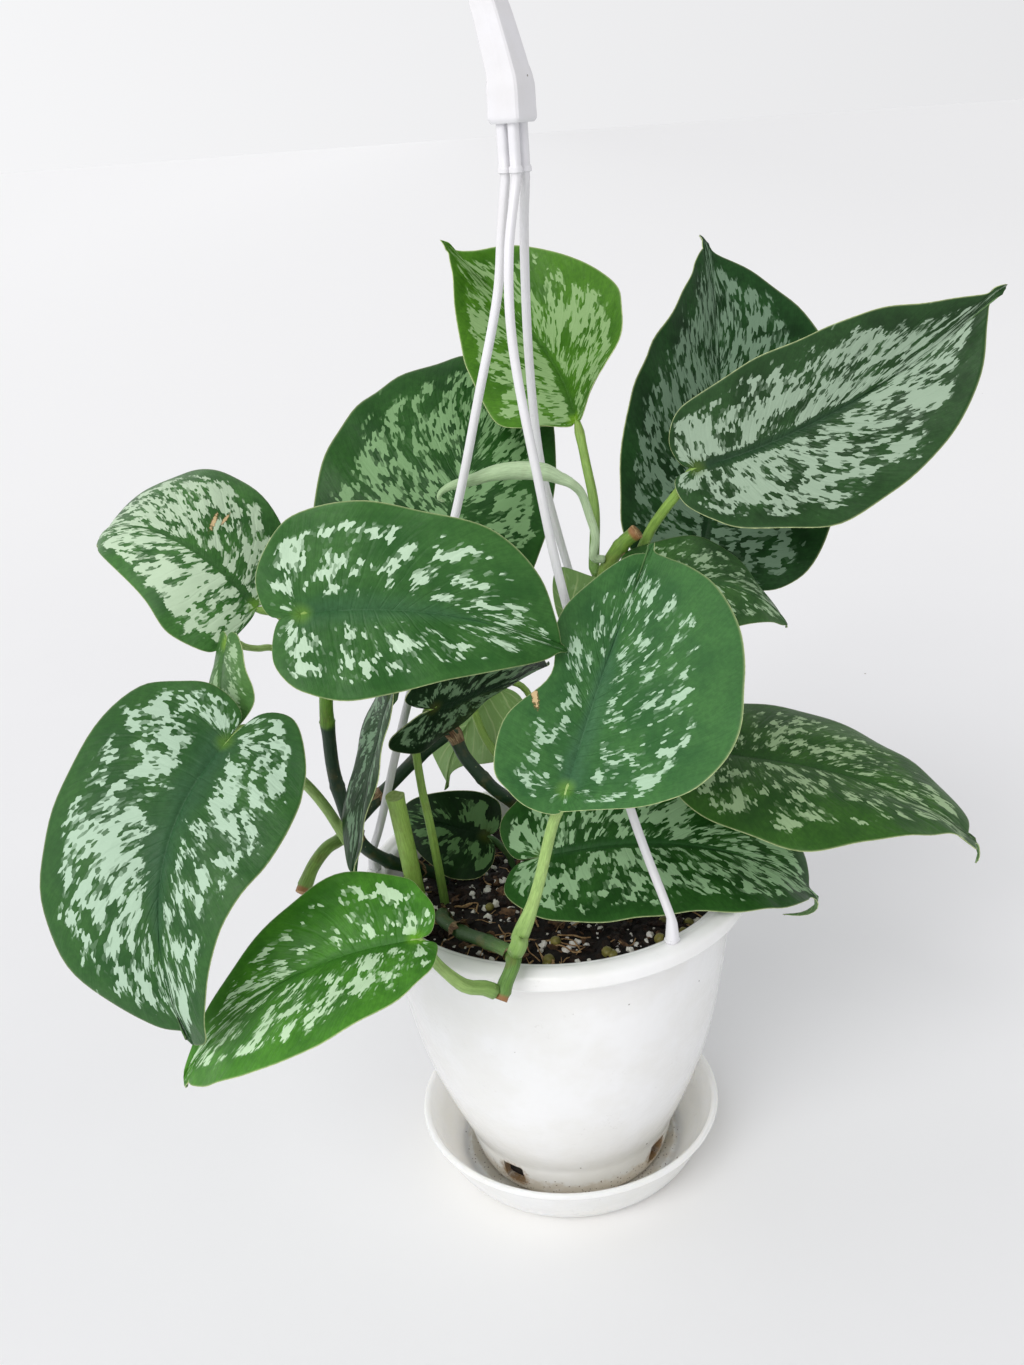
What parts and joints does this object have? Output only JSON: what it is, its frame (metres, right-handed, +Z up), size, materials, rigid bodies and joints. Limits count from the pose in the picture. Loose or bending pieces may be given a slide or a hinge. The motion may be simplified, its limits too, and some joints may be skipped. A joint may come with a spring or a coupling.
{
  "type": "satin pothos in a hanging pot",
  "caption": "Trailing houseplant with silver-splashed heart-shaped leaves, in a white plastic hanging pot with a rigid hanger, standing on its saucer.",
  "frame": {"origin": "centre of the saucer's flat underside", "axes": "+Z up along the pot's axis; -Y is the front, the side the picture was taken from; +X is to its right"},
  "size_m": [0.345, 0.2645, 0.4894],
  "materials": {
    "white_plastic": "semi-gloss injection-moulded plastic, slightly scuffed",
    "potting_mix": "loose bark, peat and perlite",
    "satin_leaf": "satin green leaf with silvery splashes",
    "dark_leaf": "satin dark green leaf",
    "pale_leaf": "pale green underside of a young leaf",
    "rolled_leaf": "pale grey-green, tightly rolled",
    "stem_green": "smooth green stem with brown scars",
    "stalk_green": "bright green cut stalk"
  },
  "bodies": {
    "root": {"saucer": "white_plastic", "pot": "white_plastic", "soil": "potting_mix", "hanger_head": "white_plastic", "hanger_rod_left": "white_plastic", "hanger_rod_front": "white_plastic", "hanger_rod_back": "white_plastic", "stem_over_rim": "stem_green", "stem_middle": "stem_green", "stem_left": "stem_green", "stem_right": "stem_green", "cut_stalk": "stalk_green", "new_leaf": "rolled_leaf", "leaf_front": "satin_leaf", "leaf_middle_left": "satin_leaf", "leaf_left_large": "satin_leaf", "leaf_left_low": "satin_leaf", "leaf_left_high": "satin_leaf", "leaf_left_small": "satin_leaf", "leaf_back": "satin_leaf", "leaf_top": "satin_leaf", "leaf_right_back": "satin_leaf", "leaf_right_high": "satin_leaf", "leaf_curled": "satin_leaf", "leaf_right_low": "satin_leaf", "leaf_over_soil": "satin_leaf", "leaf_low_dark": "dark_leaf", "leaf_under_middle": "dark_leaf", "leaf_narrow": "satin_leaf", "leaf_turned": "satin_leaf", "leaf_pale_back": "pale_leaf"}
  },
  "joints": []
}
